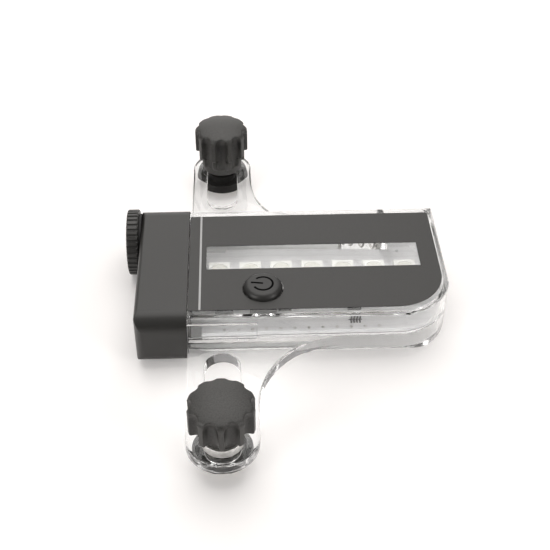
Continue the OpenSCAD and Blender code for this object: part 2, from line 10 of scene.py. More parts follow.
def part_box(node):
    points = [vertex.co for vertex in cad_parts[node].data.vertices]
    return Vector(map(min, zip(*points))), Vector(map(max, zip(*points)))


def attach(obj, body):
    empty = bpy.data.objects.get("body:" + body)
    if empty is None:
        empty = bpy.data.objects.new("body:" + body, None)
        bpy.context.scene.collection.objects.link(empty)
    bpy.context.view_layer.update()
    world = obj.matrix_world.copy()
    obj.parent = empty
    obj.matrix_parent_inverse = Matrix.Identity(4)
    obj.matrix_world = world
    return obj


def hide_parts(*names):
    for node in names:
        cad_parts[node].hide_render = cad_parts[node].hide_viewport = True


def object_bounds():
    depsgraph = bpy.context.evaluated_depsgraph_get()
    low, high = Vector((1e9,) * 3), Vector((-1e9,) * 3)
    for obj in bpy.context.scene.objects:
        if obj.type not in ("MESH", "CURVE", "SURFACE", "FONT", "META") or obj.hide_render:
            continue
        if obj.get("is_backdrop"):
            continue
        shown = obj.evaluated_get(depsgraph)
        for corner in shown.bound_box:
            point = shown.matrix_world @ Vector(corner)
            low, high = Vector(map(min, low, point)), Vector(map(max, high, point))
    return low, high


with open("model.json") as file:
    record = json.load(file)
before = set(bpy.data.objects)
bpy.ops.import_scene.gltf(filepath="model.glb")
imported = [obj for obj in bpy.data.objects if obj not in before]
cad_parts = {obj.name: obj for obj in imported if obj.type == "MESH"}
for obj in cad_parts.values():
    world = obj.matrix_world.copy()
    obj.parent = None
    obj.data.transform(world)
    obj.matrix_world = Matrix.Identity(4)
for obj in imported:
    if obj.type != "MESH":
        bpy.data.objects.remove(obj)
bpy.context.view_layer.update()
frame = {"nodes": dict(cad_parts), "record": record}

MM = 0.001

# Viewpoint
# The light lies on a table and is seen from in front and well above, a little from the left,
# with a lens of moderate length, as the photograph shows it.
camera_place = Vector((-9.85, -182.5, 168.0)) * MM
camera_pitch = math.radians(40.96)
camera_yaw = math.radians(2.43)
camera_roll = math.radians(-0.34)
camera = bpy.data.objects.new("camera", bpy.data.cameras.new("camera"))
camera.data.lens = 68.53
camera.data.sensor_width = 36.0
camera.data.clip_start = 0.01
camera.data.clip_end = 20.0
camera.matrix_world = (
    Matrix.Translation(camera_place)
    @ Matrix.Rotation(-camera_yaw, 4, "Z")
    @ Matrix.Rotation(math.pi / 2 - camera_pitch, 4, "X")
    @ Matrix.Rotation(-camera_roll, 4, "Z")
)
bpy.context.scene.collection.objects.link(camera)
bpy.context.scene.camera = camera

# Table and light
# A plain white table top under one broad soft ceiling lamp, a lower one behind and one at each
# front side, in a room that is pale above and behind and dim in front, so that clear edges show.
scene = bpy.context.scene
scene.view_settings.view_transform = "Standard"
scene.cycles.max_bounces = 32
scene.cycles.glossy_bounces = 24
scene.cycles.transmission_bounces = 24


def new_material(name):
    """An empty node material and its tree."""
    material = bpy.data.materials.new(name)
    material.use_nodes = True
    material.node_tree.nodes.clear()
    return material, material.node_tree


def add_node(tree, kind, **settings):
    """A node of that kind with its settings; its inputs are linked to a socket or set to a value."""
    made = tree.nodes.new(kind)
    inputs = settings.pop("inputs", {})
    for key, value in settings.items():
        setattr(made, key, value)
    for key, value in inputs.items():
        if isinstance(value, bpy.types.NodeSocket):
            tree.links.new(value, made.inputs[key])
        else:
            made.inputs[key].default_value = value
    return made


table_half = 3.0
table_white = (0.93, 0.91, 0.905, 1.0)
lift_seen = 0.11
lift_far = 0.9
lift_mirrored = 0.06
near_r = 0.3
far_r = 1.1
table_material, tree = new_material("white_table")
paper = add_node(tree, "ShaderNodeBsdfDiffuse", inputs={"Color": table_white})
glow = add_node(tree, "ShaderNodeEmission", inputs={"Color": (1.0, 1.0, 1.0, 1.0)})
path = add_node(tree, "ShaderNodeLightPath")
mirrored = add_node(tree, "ShaderNodeMath", operation="MAXIMUM", inputs={
    0: path.outputs["Is Glossy Ray"], 1: path.outputs["Is Transmission Ray"]})
mirrored_lift = add_node(tree, "ShaderNodeMath", operation="MULTIPLY", inputs={
    0: mirrored.outputs[0], 1: lift_mirrored})
spot = add_node(tree, "ShaderNodeTexCoord")
away = add_node(tree, "ShaderNodeVectorMath", operation="LENGTH", inputs={0: spot.outputs["Object"]})
seen_lift = add_node(tree, "ShaderNodeMapRange", interpolation_type="SMOOTHSTEP", inputs={
    "Value": away.outputs["Value"], "From Min": near_r, "From Max": far_r,
    "To Min": lift_seen, "To Max": lift_far})
lift = add_node(tree, "ShaderNodeMath", operation="MULTIPLY_ADD", inputs={
    0: path.outputs["Is Camera Ray"], 1: seen_lift.outputs["Result"], 2: mirrored_lift.outputs[0]})
tree.links.new(lift.outputs[0], glow.inputs["Strength"])
both = add_node(tree, "ShaderNodeAddShader", inputs={0: paper.outputs[0], 1: glow.outputs[0]})
add_node(tree, "ShaderNodeOutputMaterial", inputs={"Surface": both.outputs[0]})
table_mesh = bpy.data.meshes.new("table")
table_corners = [(x * table_half, y * table_half, 0) for x, y in ((-1, -1), (1, -1), (1, 1), (-1, 1))]
table_mesh.from_pydata(table_corners, [], [(0, 1, 2, 3)])
table_mesh.materials.append(table_material)
table = bpy.data.objects.new("table", table_mesh)
scene.collection.objects.link(table)
table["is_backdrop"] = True

lamp_tint = (1.0, 0.985, 0.962)


def soft_lamp(name, place, aim, side, power):
    """A square area lamp that faces a point."""
    lamp = bpy.data.objects.new(name, bpy.data.lights.new(name, "AREA"))
    lamp.data.size = side
    lamp.data.energy = power
    lamp.data.color = lamp_tint
    lamp.location = place
    lamp.rotation_euler = (Vector(aim) - Vector(place)).to_track_quat("-Z", "Y").to_euler()
    scene.collection.objects.link(lamp)


soft_lamp("lamp_ceiling", (0.0, 0.22, 0.7), (0, 0, 0), 0.76, 3.6)
soft_lamp("lamp_behind", (-0.05, 0.8, 0.36), (0, 0, 0), 0.6, 1.1)
soft_lamp("lamp_front_left", (-0.7, -0.5, 0.4), (0, 0, 0.01), 0.4, 3.2)
soft_lamp("lamp_front_right", (0.7, -0.5, 0.4), (0, 0, 0.01), 0.4, 2.6)

room_dim = (0.07, 0.068, 0.066, 1.0)
room_pale = (0.5, 0.485, 0.475, 1.0)
pale_direction = (0.0, 0.6, 0.8)
world = bpy.data.worlds.new("pale_room")
world.use_nodes = True
tree = world.node_tree
tree.nodes.clear()
direction = add_node(tree, "ShaderNodeTexCoord")
pale_side = add_node(tree, "ShaderNodeVectorMath", operation="DOT_PRODUCT", inputs={
    0: direction.outputs["Generated"], 1: pale_direction})
rise = add_node(tree, "ShaderNodeMapRange", interpolation_type="SMOOTHSTEP", inputs={
    "Value": pale_side.outputs["Value"], "From Min": -0.05, "From Max": 0.85})
walls = add_node(tree, "ShaderNodeMix", data_type="RGBA", inputs={0: rise.outputs["Result"]})
walls.inputs[6].default_value = room_dim
walls.inputs[7].default_value = room_pale
room = add_node(tree, "ShaderNodeBackground", inputs={"Color": walls.outputs[2]})
plain = add_node(tree, "ShaderNodeBackground", inputs={"Color": (1.0, 1.0, 1.0, 1.0)})
path = add_node(tree, "ShaderNodeLightPath")
shown = add_node(tree, "ShaderNodeMixShader", inputs={
    0: path.outputs["Is Camera Ray"], 1: room.outputs[0], 2: plain.outputs[0]})
add_node(tree, "ShaderNodeOutputWorld", inputs={"Surface": shown.outputs[0]})
scene.world = world

# Clear shells
# Lower shell with both slotted arms and the upper shell on top of it, injection moulded in
# clear polycarbonate. The edges are slightly rounded and a hair of air lies in the seam.


def bsdf(tree, inputs):
    """Adds a Principled shader with these inputs and links it to the material's output."""
    shader = add_node(tree, "ShaderNodeBsdfPrincipled", inputs=inputs)
    add_node(tree, "ShaderNodeOutputMaterial", inputs={"Surface": shader.outputs[0]})


def noise(tree, scale, detail=2.0):
    """Noise on the piece's own coordinates, in grains per metre."""
    place = add_node(tree, "ShaderNodeTexCoord")
    grain = add_node(tree, "ShaderNodeTexNoise", inputs={
        "Vector": place.outputs["Object"], "Scale": scale, "Detail": detail})
    return grain.outputs["Fac"]


def spread(tree, value, low, high, from_low=0.3, from_high=0.7):
    """A 0 to 1 pattern spread over a range."""
    ranged = add_node(tree, "ShaderNodeMapRange", inputs={
        "Value": value, "From Min": from_low, "From Max": from_high, "To Min": low, "To Max": high})
    return ranged.outputs["Result"]


def tones(tree, value, dark, light):
    """A colour between two tones, chosen by a pattern."""
    mixed = add_node(tree, "ShaderNodeMix", data_type="RGBA", inputs={0: value})
    mixed.inputs[6].default_value = (*dark, 1.0)
    mixed.inputs[7].default_value = (*light, 1.0)
    return mixed.outputs[2]


def bump(tree, value, depth, strength):
    """A bump of that depth in metres."""
    made = add_node(tree, "ShaderNodeBump", inputs={"Height": value, "Distance": depth, "Strength": strength})
    return made.outputs["Normal"]


shade_of_a_face = 0.06


def clear_plastic(name):
    """Polished clear polycarbonate with faint haze and flow ripple; each face stops a little light."""
    material, tree = new_material(name)
    haze = spread(tree, noise(tree, 260.0, 4.0), 0.0, 0.04)
    ripple = bump(tree, noise(tree, 130.0, 1.0), 0.02 * MM, 0.35)
    path = add_node(tree, "ShaderNodeLightPath")
    stopped = add_node(tree, "ShaderNodeMapRange", inputs={
        "Value": path.outputs["Is Shadow Ray"], "To Min": 1.0, "To Max": shade_of_a_face})
    bsdf(tree, {"Base Color": (0.95, 0.955, 0.955, 1.0), "IOR": 1.55, "Transmission Weight": 1.0,
                "Roughness": haze, "Normal": ripple, "Alpha": stopped.outputs["Result"]})
    return material


merge_gap = 0.0005 * MM


def plain_mesh(node):
    """A CAD node's triangles merged into one closed skin of flat faces."""
    source = frame["nodes"][node].data
    skin = bmesh.new()
    points = [skin.verts.new(v.co) for v in source.vertices]
    for face in source.polygons:
        skin.faces.new([points[i] for i in face.vertices])
    bmesh.ops.remove_doubles(skin, verts=skin.verts, dist=merge_gap)
    bmesh.ops.dissolve_degenerate(skin, edges=skin.edges, dist=merge_gap)
    bmesh.ops.dissolve_limit(skin, angle_limit=math.radians(0.5), verts=skin.verts, edges=skin.edges)
    return skin


def as_piece(name, mesh, finish, body, nodes=()):
    """Makes a mesh a piece of the light: its finish, its body, and the nodes that it stands for, which are
    hidden.
    """
    mesh.materials.clear()
    mesh.materials.append(finish)
    made = bpy.data.objects.new(name, mesh)
    scene.collection.objects.link(made)
    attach(made, body)
    if nodes:
        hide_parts(*nodes)


def body_of_node(node):
    """The body that carries a CAD node."""
    return next(b for b, members in frame["record"]["behaviour"]["bodies"].items() if node in members)


def baked(made):
    """The object's evaluated mesh as a plain mesh, with the object and its modifiers gone."""
    graph = bpy.context.evaluated_depsgraph_get()
    mesh = bpy.data.meshes.new_from_object(made.evaluated_get(graph), depsgraph=graph)
    bpy.data.objects.remove(made)
    return mesh


def softened(node, name, finish, width, segments=2, trim=None):
    """Makes a piece with a CAD node's shape and rounded edges; trim may change the skin first."""
    skin = plain_mesh(node)
    if trim:
        trim(skin)
    mesh = bpy.data.meshes.new(name)
    skin.to_mesh(mesh)
    skin.free()
    mesh.polygons.foreach_set("use_smooth", [True] * len(mesh.polygons))
    mesh.set_sharp_from_angle(angle=math.radians(50))
    rough = bpy.data.objects.new(name + "_rough", mesh)
    scene.collection.objects.link(rough)
    edge = rough.modifiers.new("edge", "BEVEL")
    edge.width = width
    edge.segments = segments
    edge.limit_method = "ANGLE"
    edge.angle_limit = math.radians(28)
    edge.use_clamp_overlap = True
    edge.harden_normals = True
    edge.miter_outer = "MITER_ARC"
    as_piece(name, baked(rough), finish, body_of_node(node), [node])


seam_air = 0.012 * MM
seam_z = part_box("upper_case")[0].z


def eased(axis, level, shift):
    """A trim that moves a piece's flat face at a level, so that a hair of air lies behind it."""
    def trim(skin):
        for vertex in skin.verts:
            if abs(vertex.co[axis] - level) < abs(shift) / 2:
                vertex.co[axis] += shift
    return trim


arm_edge = 0.55 * MM
slot_edge = 0.16 * MM
arm_t = 2.8 * MM
arm_levels = (seam_z, seam_z - arm_t)
case_reach = 20.4 * MM
slot_reach = 52.0 * MM
slot_half_w = 4.1 * MM
slot_mid_x = (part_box("front_stud")[0].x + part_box("front_stud")[1].x) / 2


def rounded_arms(skin):
    """A trim that rounds the upper and lower edges of both arms, and those of their slots less."""
    outer_rims = []
    slot_rims = []
    for edge in skin.edges:
        ends = [vertex.co for vertex in edge.verts]
        flat = any(all(abs(end.z - level) < 0.01 * MM for end in ends) for level in arm_levels)
        outside = all(abs(end.y) > case_reach for end in ends)
        if flat and outside and len(edge.link_faces) == 2 and edge.calc_face_angle() > math.radians(60):
            in_slot = all(abs(end.x - slot_mid_x) < slot_half_w and abs(end.y) < slot_reach for end in ends)
            (slot_rims if in_slot else outer_rims).append(edge)
    for rims, width in ((outer_rims, arm_edge), (slot_rims, slot_edge)):
        rims = [edge for edge in rims if edge.is_valid]
        bmesh.ops.bevel(skin, geom=rims, offset=width, segments=4, profile=0.5, affect="EDGES",
                        clamp_overlap=False)


clear_finish = clear_plastic("clear_polycarbonate")
shell_edge = 0.3 * MM
softened("lower_case", "lower_shell", clear_finish, shell_edge, trim=rounded_arms)
softened("upper_case", "upper_shell", clear_finish, shell_edge, trim=eased(2, seam_z, seam_air))

# Circuit board
# White solder mask on glass fibre, with tinned pads, plated holes and the tracks that show
# faintly under the mask. It lies on posts in the lower shell at mid height.


def white_mask(name):
    """Pale, faintly lilac solder mask with tracks showing through as slightly darker stripes."""
    material, tree = new_material(name)
    place = add_node(tree, "ShaderNodeTexCoord")
    tracks = add_node(tree, "ShaderNodeTexWave", wave_type="BANDS", bands_direction="Y", inputs={
        "Vector": place.outputs["Object"], "Scale": 170.0, "Distortion": 3.0, "Detail": 1.0,
        "Detail Scale": 0.4})
    colour = tones(tree, spread(tree, tracks.outputs["Fac"], 0.0, 1.0, 0.75, 0.85),
                   (0.88, 0.875, 0.89), (0.83, 0.825, 0.84))
    relief = bump(tree, tracks.outputs["Fac"], 0.02 * MM, 0.3)
    shine = spread(tree, noise(tree, 900.0), 0.28, 0.42)
    bsdf(tree, {"Base Color": colour, "Roughness": shine, "Normal": relief})
    return material


def tin_plate(name, tone, rough):
    """Bright plated metal with fine uneven lustre."""
    material, tree = new_material(name)
    lustre = noise(tree, 1400.0, 3.0)
    colour = tones(tree, spread(tree, lustre, 0.0, 1.0), [0.82 * c for c in tone], tone)
    bsdf(tree, {"Base Color": colour, "Metallic": 1.0,
                "Roughness": spread(tree, lustre, rough - 0.06, rough + 0.08),
                "Normal": bump(tree, lustre, 0.006 * MM, 0.4)})
    return material


mask_finish = white_mask("white_solder_mask")
tin_finish = tin_plate("tinned_copper", (0.78, 0.77, 0.74), 0.3)
softened("pcb", "circuit_board", mask_finish, 0.08 * MM,
         trim=eased(2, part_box("pcb")[0].z, seam_air))


def row_tree():
    """Geometry nodes that set copies of one piece along a line and give them one finish."""
    made = bpy.data.node_groups.new("row_of_pieces", "GeometryNodeTree")
    face = made.interface
    for label, kind in (("Piece", "NodeSocketObject"), ("Count", "NodeSocketInt"),
                        ("Start", "NodeSocketVector"), ("Step", "NodeSocketVector"),
                        ("Finish", "NodeSocketMaterial")):
        face.new_socket(label, in_out="INPUT", socket_type=kind)
    face.new_socket("Row", in_out="OUTPUT", socket_type="NodeSocketGeometry")
    given = add_node(made, "NodeGroupInput").outputs
    line = add_node(made, "GeometryNodeMeshLine", mode="OFFSET", inputs={
        "Count": given["Count"], "Start Location": given["Start"], "Offset": given["Step"]})
    single = add_node(made, "GeometryNodeObjectInfo", inputs={"Object": given["Piece"]})
    copies = add_node(made, "GeometryNodeInstanceOnPoints", inputs={
        "Points": line.outputs[0], "Instance": single.outputs["Geometry"]})
    solid = add_node(made, "GeometryNodeRealizeInstances", inputs={0: copies.outputs[0]})
    painted = add_node(made, "GeometryNodeSetMaterial", inputs={
        "Geometry": solid.outputs[0], "Material": given["Finish"]})
    add_node(made, "NodeGroupOutput", inputs={0: painted.outputs[0]})
    return made


def run_tree(tree, name, base, values):
    """The mesh that a tree makes from a base mesh and its named inputs."""
    made = bpy.data.objects.new(name + "_base", base)
    scene.collection.objects.link(made)
    modifier = made.modifiers.new("tree", "NODES")
    modifier.node_group = tree
    for item in tree.interface.items_tree:
        if item.in_out == "INPUT" and item.name in values:
            modifier[item.identifier] = values[item.name]
    made.update_tag()
    return baked(made)


rows = row_tree()


def row_of(name, shape, finish, body, count, start, step):
    """Makes a row of copies of a small mesh, as one piece."""
    single = bpy.data.objects.new(name + "_single", shape)
    scene.collection.objects.link(single)
    mesh = run_tree(rows, name, bpy.data.meshes.new(name), {
        "Piece": single, "Count": count, "Start": start, "Step": step, "Finish": finish})
    bpy.data.objects.remove(single)
    as_piece(name, mesh, finish, body)


def chip_mesh(name, size, edge):
    """A small block on z = 0 with rounded edges."""
    skin = bmesh.new()
    bmesh.ops.create_cube(skin, size=1.0)
    for vertex in skin.verts:
        vertex.co = Vector((vertex.co.x * size[0], vertex.co.y * size[1], (vertex.co.z + 0.5) * size[2]))
    bmesh.ops.bevel(skin, geom=skin.edges[:], offset=edge, segments=2, profile=0.5, affect="EDGES")
    mesh = bpy.data.meshes.new(name)
    skin.to_mesh(mesh)
    skin.free()
    return mesh


def turned(name, profile, steps, closed=False):
    """A mesh turned about the Z axis from (radius, height) points."""
    skin = bmesh.new()
    points = [skin.verts.new((r, 0.0, z)) for r, z in profile]
    pairs = list(zip(points, points[1:]))
    if closed:
        pairs.append((points[-1], points[0]))
    edges = [skin.edges.new(pair) for pair in pairs]
    bmesh.ops.spin(skin, geom=points + edges, axis=(0, 0, 1), cent=(0, 0, 0), angle=2 * math.pi, steps=steps)
    bmesh.ops.remove_doubles(skin, verts=skin.verts, dist=merge_gap)
    bmesh.ops.dissolve_degenerate(skin, edges=skin.edges, dist=merge_gap)
    bmesh.ops.recalc_face_normals(skin, faces=skin.faces)
    mesh = bpy.data.meshes.new(name)
    skin.to_mesh(mesh)
    skin.free()
    mesh.polygons.foreach_set("use_smooth", [True] * len(mesh.polygons))
    mesh.set_sharp_from_angle(angle=math.radians(40))
    return mesh


def arc(centre_r, centre_z, radius, start, end, count=6):
    """Points of an arc in a turned profile, from start to end in degrees."""
    return [(centre_r + radius * math.cos(math.radians(start + (end - start) * i / count)),
             centre_z + radius * math.sin(math.radians(start + (end - start) * i / count)))
            for i in range(count + 1)]


board_low, board_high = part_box("pcb")
via_r = 0.35 * MM
via_bore_r = 0.15 * MM
via_t = 0.03 * MM
via_start = (board_low.x + 5 * MM, board_low.y + 0.9 * MM, board_high.z)
via_pitch = 3.1 * MM
via_profile = [(via_bore_r, 0.0), (via_bore_r, via_t), (via_r, via_t), (via_r, 0.0)]
via_rim = turned("via_rim", via_profile, 16, closed=True)
row_of("board_vias", via_rim, tin_finish, "case", 12, via_start, (via_pitch, 0, 0))
pad_r = 0.75 * MM
pad_t = 0.04 * MM
pad_start = (board_low.x + 26 * MM, board_low.y + 8.2 * MM, board_high.z)
pad_pitch = 4.2 * MM
test_pad = turned("test_pad", [(0.0, pad_t), (pad_r - 0.05 * MM, pad_t), (pad_r, 0.0), (0.0, 0.0)], 20)
row_of("board_pads", test_pad, tin_finish, "case", 4, pad_start, (pad_pitch, 0, 0))

# Lamps
# Seven surface-mount packages on each face of the board: a white housing with a round cup,
# cream resin in the cup, and tinned feet along two sides.


def moulded(name, dark, light, rough, grain, depth, gloss=0.5):
    """Moulded plastic with a fine grain in its tone, gloss and surface."""
    material, tree = new_material(name)
    pattern = noise(tree, grain, 3.0)
    bsdf(tree, {"Base Color": tones(tree, spread(tree, pattern, 0.0, 1.0), dark, light),
                "Roughness": spread(tree, pattern, rough - 0.05, rough + 0.07),
                "Specular IOR Level": gloss, "Normal": bump(tree, pattern, depth, 0.6)})
    return material


housing_finish = moulded("lamp_housing", (0.86, 0.855, 0.82), (0.90, 0.895, 0.86), 0.4, 1500.0, 0.004 * MM)
resin_finish = moulded("lamp_resin", (0.87, 0.86, 0.79), (0.91, 0.90, 0.83), 0.22, 700.0, 0.004 * MM)
lamp_low, lamp_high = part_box("leds_top")
under_low, under_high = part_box("leds_bottom")
lamp_count = 7
lamp_side = lamp_high.y - lamp_low.y
lamp_pitch = (lamp_high.x - lamp_low.x - lamp_side) / (lamp_count - 1)
cup_r = 1.88 * MM
cup_depth = 0.3 * MM
resin_t = 0.28 * MM
resin_profile = [(0.0, resin_t), (0.7 * cup_r, resin_t - 0.04 * MM), (cup_r, resin_t - 0.12 * MM),
                 (cup_r, 0.0), (0.0, 0.0)]
resin_mesh = turned("resin_disc", resin_profile, 40)
foot_size = (0.9 * MM, 0.5 * MM, 0.5 * MM)
foot_edge = 0.08 * MM
foot_out = 0.05 * MM
foot_spacing = 1.6 * MM
lamp_start = lamp_low.x + lamp_side / 2
lamp_y = (lamp_low.y + lamp_high.y) / 2
lamp_rows = (("top", "leds_top", lamp_high.z, 1), ("under", "leds_bottom", under_low.z, -1))
for side, node, face_z, up in lamp_rows:
    softened(node, "lamp_housings_" + side, housing_finish, 0.1 * MM)
    cup_z = face_z - up * cup_depth
    disc = resin_mesh.copy()
    if up < 0:
        disc.transform(Matrix.Rotation(math.pi, 4, "X"))
    row_of("lamp_resin_" + side, disc, resin_finish, "case", lamp_count,
           (lamp_start, lamp_y, cup_z), (lamp_pitch, 0, 0))
    foot_z = lamp_low.z if up > 0 else under_high.z - foot_size[2]
    for edge, foot_y in (("front", lamp_low.y - foot_out), ("back", lamp_high.y + foot_out)):
        for i in range(3):
            first_foot = (lamp_start + (i - 1) * foot_spacing, foot_y, foot_z)
            row_of(f"lamp_feet_{side}_{edge}_{i}", chip_mesh("foot", foot_size, foot_edge), tin_finish,
                   "case", lamp_count, first_foot, (lamp_pitch, 0, 0))

# Chips and small parts
# Black resin packages, brown ceramic chips and a square ferrite step-up coil, all soldered to
# the board's upper face behind the front wall.
chip_finish = moulded("chip_resin", (0.016, 0.016, 0.016), (0.028, 0.027, 0.026), 0.5, 2600.0, 0.006 * MM)
ceramic_finish = moulded("brown_ceramic", (0.20, 0.12, 0.07), (0.27, 0.17, 0.10), 0.45, 1800.0, 0.004 * MM)
ferrite_finish = moulded("grey_ferrite", (0.035, 0.035, 0.038), (0.06, 0.06, 0.064), 0.55, 2200.0, 0.008 * MM)
softened("control_chip", "control_package", chip_finish, 0.06 * MM)
softened("boost_chip", "boost_package", chip_finish, 0.08 * MM)
softened("boost_coil", "step_up_coil", ferrite_finish, 0.15 * MM)
softened("chip_parts", "ceramic_parts", ceramic_finish, 0.06 * MM)

# Power switch
# A black moulded tact switch, soldered to the board under the power key. Its pale plastic
# plunger rides with the key.
plunger_finish = moulded("pale_plunger", (0.78, 0.77, 0.73), (0.84, 0.83, 0.79), 0.45, 1500.0, 0.004 * MM)
softened("power_switch", "tact_switch", chip_finish, 0.12 * MM)
softened("switch_plunger", "switch_button", plunger_finish, 0.15 * MM)

# Battery cell and contacts
# One AAA size cell in a plain pale sleeve, with its plated can bare at both ends, between a
# contact plate on the tail cap and a coil on the plate at the lamp end.
grey_end_x = -20.5 * MM
pale_start_x = -20.0 * MM


def cell_print(name):
    """A glossy pale sleeve with a slightly greyer band at the cap's end."""
    material, tree = new_material(name)
    place = add_node(tree, "ShaderNodeTexCoord")
    along = add_node(tree, "ShaderNodeSeparateXYZ", inputs={0: place.outputs["Object"]})
    band = add_node(tree, "ShaderNodeMapRange", inputs={
        "Value": along.outputs["X"], "From Min": grey_end_x, "From Max": pale_start_x})
    shine = spread(tree, noise(tree, 700.0), 0.16, 0.28)
    colour = tones(tree, band.outputs["Result"], (0.8, 0.8, 0.8), (0.95, 0.95, 0.945))
    bsdf(tree, {"Base Color": colour, "Roughness": shine,
                "Normal": bump(tree, noise(tree, 420.0, 1.0), 0.02 * MM, 0.4)})
    return material


plate_finish = tin_plate("nickel_plate", (0.76, 0.74, 0.71), 0.28)
sleeve_finish = cell_print("cell_sleeve_print")
softened("cell_can", "cell_can_plated", plate_finish, 0.25 * MM, 3)
softened("cell_sleeve", "cell_sleeve_shrunk", sleeve_finish, 0.06 * MM)
softened("positive_contact", "positive_plate", plate_finish, 0.08 * MM)
softened("positive_strip", "positive_lead", plate_finish, 0.06 * MM)
pale_plate_finish = tin_plate("pale_tin_plate", (0.95, 0.94, 0.92), 0.5)
softened("negative_contact", "negative_plate", pale_plate_finish, 0.08 * MM)


def coil_tree():
    """Geometry nodes that wind round wire into a conical coil along X with flat end turns."""
    made = bpy.data.node_groups.new("battery_coil", "GeometryNodeTree")
    face = made.interface
    for label, kind in (("Turns", "NodeSocketFloat"), ("Tip Radius", "NodeSocketFloat"),
                        ("Foot Radius", "NodeSocketFloat"), ("Wire Radius", "NodeSocketFloat"),
                        ("Start", "NodeSocketVector"), ("Length", "NodeSocketFloat"),
                        ("Flat End", "NodeSocketFloat"), ("Finish", "NodeSocketMaterial")):
        face.new_socket(label, in_out="INPUT", socket_type=kind)
    face.new_socket("Coil", in_out="OUTPUT", socket_type="NodeSocketGeometry")
    given = add_node(made, "NodeGroupInput").outputs
    spiral = add_node(made, "GeometryNodeCurveSpiral", inputs={
        "Resolution": 64, "Rotations": given["Turns"], "Start Radius": given["Tip Radius"],
        "End Radius": given["Foot Radius"], "Height": 0.0})
    share = add_node(made, "GeometryNodeSplineParameter")
    last = add_node(made, "ShaderNodeMath", operation="SUBTRACT", inputs={0: 1.0, 1: given["Flat End"]})
    rise = add_node(made, "ShaderNodeMapRange", interpolation_type="SMOOTHSTEP", inputs={
        "Value": share.outputs["Factor"], "From Min": given["Flat End"], "From Max": last.outputs[0],
        "To Min": 0.0, "To Max": given["Length"]})
    position = add_node(made, "GeometryNodeInputPosition")
    spot = add_node(made, "ShaderNodeSeparateXYZ", inputs={0: position.outputs[0]})
    along = add_node(made, "ShaderNodeCombineXYZ", inputs={
        "X": rise.outputs["Result"], "Y": spot.outputs["X"], "Z": spot.outputs["Y"]})
    moved = add_node(made, "ShaderNodeVectorMath", operation="ADD", inputs={
        0: along.outputs[0], 1: given["Start"]})
    route = add_node(made, "GeometryNodeSetPosition", inputs={
        "Geometry": spiral.outputs[0], "Position": moved.outputs[0]})
    wire = add_node(made, "GeometryNodeCurvePrimitiveCircle", inputs={
        "Resolution": 12, "Radius": given["Wire Radius"]})
    swept = add_node(made, "GeometryNodeCurveToMesh", inputs={
        "Curve": route.outputs[0], "Profile Curve": wire.outputs[0], "Fill Caps": True})
    smooth = add_node(made, "GeometryNodeSetShadeSmooth", inputs={"Geometry": swept.outputs[0]})
    solid = add_node(made, "GeometryNodeRealizeInstances", inputs={0: smooth.outputs[0]})
    painted = add_node(made, "GeometryNodeSetMaterial", inputs={
        "Geometry": solid.outputs[0], "Material": given["Finish"]})
    add_node(made, "NodeGroupOutput", inputs={0: painted.outputs[0]})
    return made


coil_low, coil_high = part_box("cell_spring")
wire_r = 0.275 * MM
coil_centre = ((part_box("cell_sleeve")[0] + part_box("cell_sleeve")[1]) / 2).yz
coil_mesh = run_tree(coil_tree(), "battery_coil", bpy.data.meshes.new("battery_coil"), {
    "Turns": 5.5, "Tip Radius": 2.2 * MM, "Foot Radius": 4.0 * MM, "Wire Radius": wire_r,
    "Start": (coil_low.x + wire_r, coil_centre[0], coil_centre[1]),
    "Length": coil_high.x - coil_low.x - 2 * wire_r, "Flat End": 0.09, "Finish": plate_finish})
as_piece("battery_coil", coil_mesh, plate_finish, "case", ["cell_spring"])

# End block, seal and tail cap
# A black block closes the battery end. A knurled cap with a thin rubber seal screws into its
# outer face and holds the cell. Both are moulded in black plastic with a fine spark texture.
block_finish = moulded("spark_black_block", (0.017, 0.0165, 0.0155), (0.024, 0.0235, 0.022),
                       0.38, 5200.0, 0.015 * MM)
block_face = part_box("lower_case")[0].x
spigot_seen = 0.4 * MM


def short_spigot(skin):
    """A trim that leaves only the root of the block's spigot, which the clear wall would show."""
    for vertex in skin.verts:
        vertex.co.x = min(vertex.co.x, block_face + spigot_seen)


softened("end_block", "battery_block", block_finish, 0.3 * MM, 3, trim=short_spigot)
rubber_finish = moulded("black_rubber", (0.016, 0.016, 0.016), (0.024, 0.024, 0.024), 0.75, 2400.0, 0.01 * MM)
softened("tail_seal", "rubber_seal", rubber_finish, 0.15 * MM)


